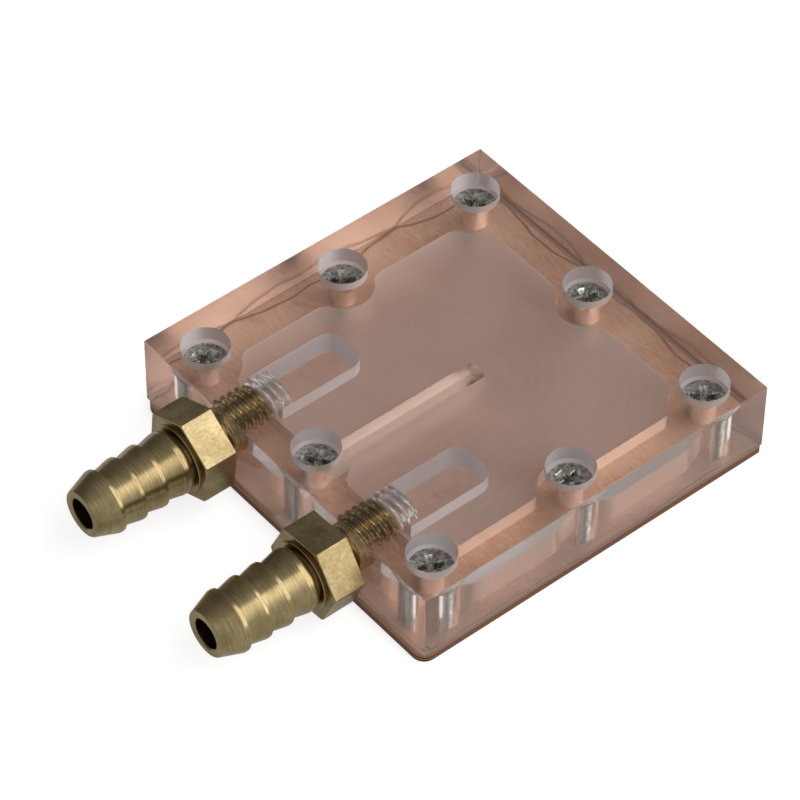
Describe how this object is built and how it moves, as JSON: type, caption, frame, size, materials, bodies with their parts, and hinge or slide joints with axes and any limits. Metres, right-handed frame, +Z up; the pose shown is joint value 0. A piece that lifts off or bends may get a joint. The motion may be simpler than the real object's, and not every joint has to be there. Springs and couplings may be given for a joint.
{
  "type": "liquid cooling cold plate",
  "caption": "Square copper cold plate under a clear acrylic cover with a milled U-turn coolant channel, countersunk cover screws and brass hose barbs on one side.",
  "frame": {"origin": "middle of the cover's footprint on the cold face, the underside of the copper plate", "axes": "+Z up from the cold face through the clear cover; the hose barbs point along -Y; the inlet is on the -X side"},
  "size_m": [0.0501, 0.0694, 0.0131],
  "materials": {
    "copper": "rolled copper sheet with sheared, deburred edges",
    "clear_acrylic": "clear cast acrylic, polished on the faces, frosted where it was milled",
    "screw_steel": "plain steel, dull and slightly dark on the heads",
    "brass": "turned brass, slightly dulled, with tool marks"
  },
  "bodies": {
    "root": {"copper_base_plate": "copper", "clear_cover": "clear_acrylic", "cover_screw_1": "screw_steel", "cover_screw_2": "screw_steel", "cover_screw_3": "screw_steel", "cover_screw_4": "screw_steel", "cover_screw_5": "screw_steel", "cover_screw_6": "screw_steel", "cover_screw_7": "screw_steel", "cover_screw_8": "screw_steel", "inlet_fitting": "brass", "outlet_fitting": "brass"}
  },
  "joints": []
}
